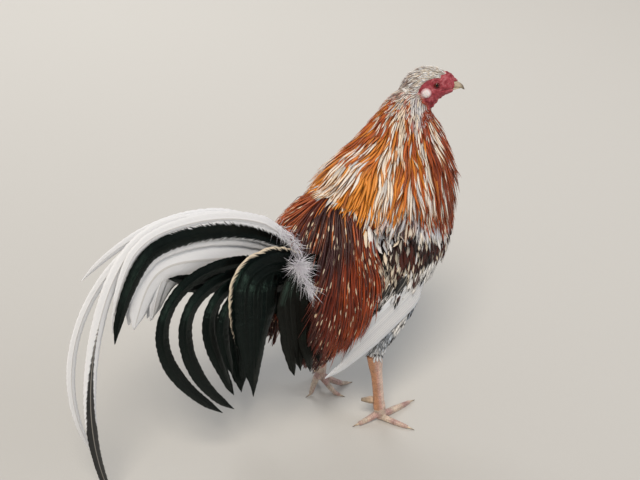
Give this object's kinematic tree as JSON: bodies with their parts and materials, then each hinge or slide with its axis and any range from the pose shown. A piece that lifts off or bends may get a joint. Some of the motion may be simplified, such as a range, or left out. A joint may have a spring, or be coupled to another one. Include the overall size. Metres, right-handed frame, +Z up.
{
  "type": "long-tailed rooster",
  "caption": "Still, life-size model of a standing long-tailed cock, head turned to its right, with hackle, folded wings and a low arching tail.",
  "frame": {"origin": "middle of the footprint of the overall box, on the floor", "axes": "+X forward, the way the breast faces; +Y to the bird's left; +Z up"},
  "size_m": [0.6008, 0.1916, 0.5224],
  "materials": {
    "eye": "glossy wet dark brown eye",
    "earlobe": "matt white skin with a pink tinge",
    "horn": "satin horn",
    "face_skin": "crimson bare skin, pebbled, satin",
    "leg_scales": "pinkish scaled skin, satin",
    "body_feathers": "mottled soft feathers",
    "neck_hackle": "glossy long narrow feathers, orange and cream",
    "saddle_hackle": "glossy long narrow feathers, red-brown with cream flecks",
    "wing_feathers": "spangled feathers, cream, green-black and mahogany",
    "white_feathers": "smooth white vanes",
    "thigh_feathers": "soft white feathers speckled with black",
    "black_feathers": "glossy black vanes with a green sheen"
  },
  "bodies": {
    "root": {"eye_right": "eye", "eye_left": "eye", "earlobe_right": "earlobe", "earlobe_left": "earlobe", "beak_lower": "horn", "beak_upper": "horn", "comb_stub": "face_skin", "head": "face_skin", "shank_right": "leg_scales", "spur_right": "horn", "claw_right_3": "horn", "toe_right_3": "leg_scales", "claw_right_4": "horn", "toe_right_4": "leg_scales", "claw_right_2": "horn", "toe_right_2": "leg_scales", "claw_right_1": "horn", "toe_right_1": "leg_scales", "shank_left": "leg_scales", "spur_left": "horn", "claw_left_3": "horn", "toe_left_3": "leg_scales", "claw_left_4": "horn", "toe_left_4": "leg_scales", "claw_left_2": "horn", "toe_left_2": "leg_scales", "claw_left_1": "horn", "toe_left_1": "leg_scales", "trunk": "body_feathers", "neck": "neck_hackle", "wing_right": "wing_feathers", "flights_right": "white_feathers", "wing_left": "wing_feathers", "flights_left": "white_feathers", "thigh_right": "thigh_feathers", "thigh_left": "thigh_feathers", "saddle_right": "saddle_hackle", "saddle_left": "saddle_hackle", "sickle_dark": "white_feathers", "sickle_green": "black_feathers", "sickle_short": "white_feathers", "sickle_long": "white_feathers", "tail_upper_right": "white_feathers", "tail_lower_right": "black_feathers", "tail_upper_left": "white_feathers", "tail_lower_left": "black_feathers", "hanger_right_1": "black_feathers", "hanger_right_2": "black_feathers", "hanger_right_3": "black_feathers", "hanger_right_4": "black_feathers", "hanger_left_1": "black_feathers", "hanger_left_2": "black_feathers", "coverts_rear_right": "black_feathers", "coverts_front_right": "black_feathers", "coverts_rear_left": "black_feathers", "coverts_front_left": "black_feathers"}
  },
  "joints": []
}
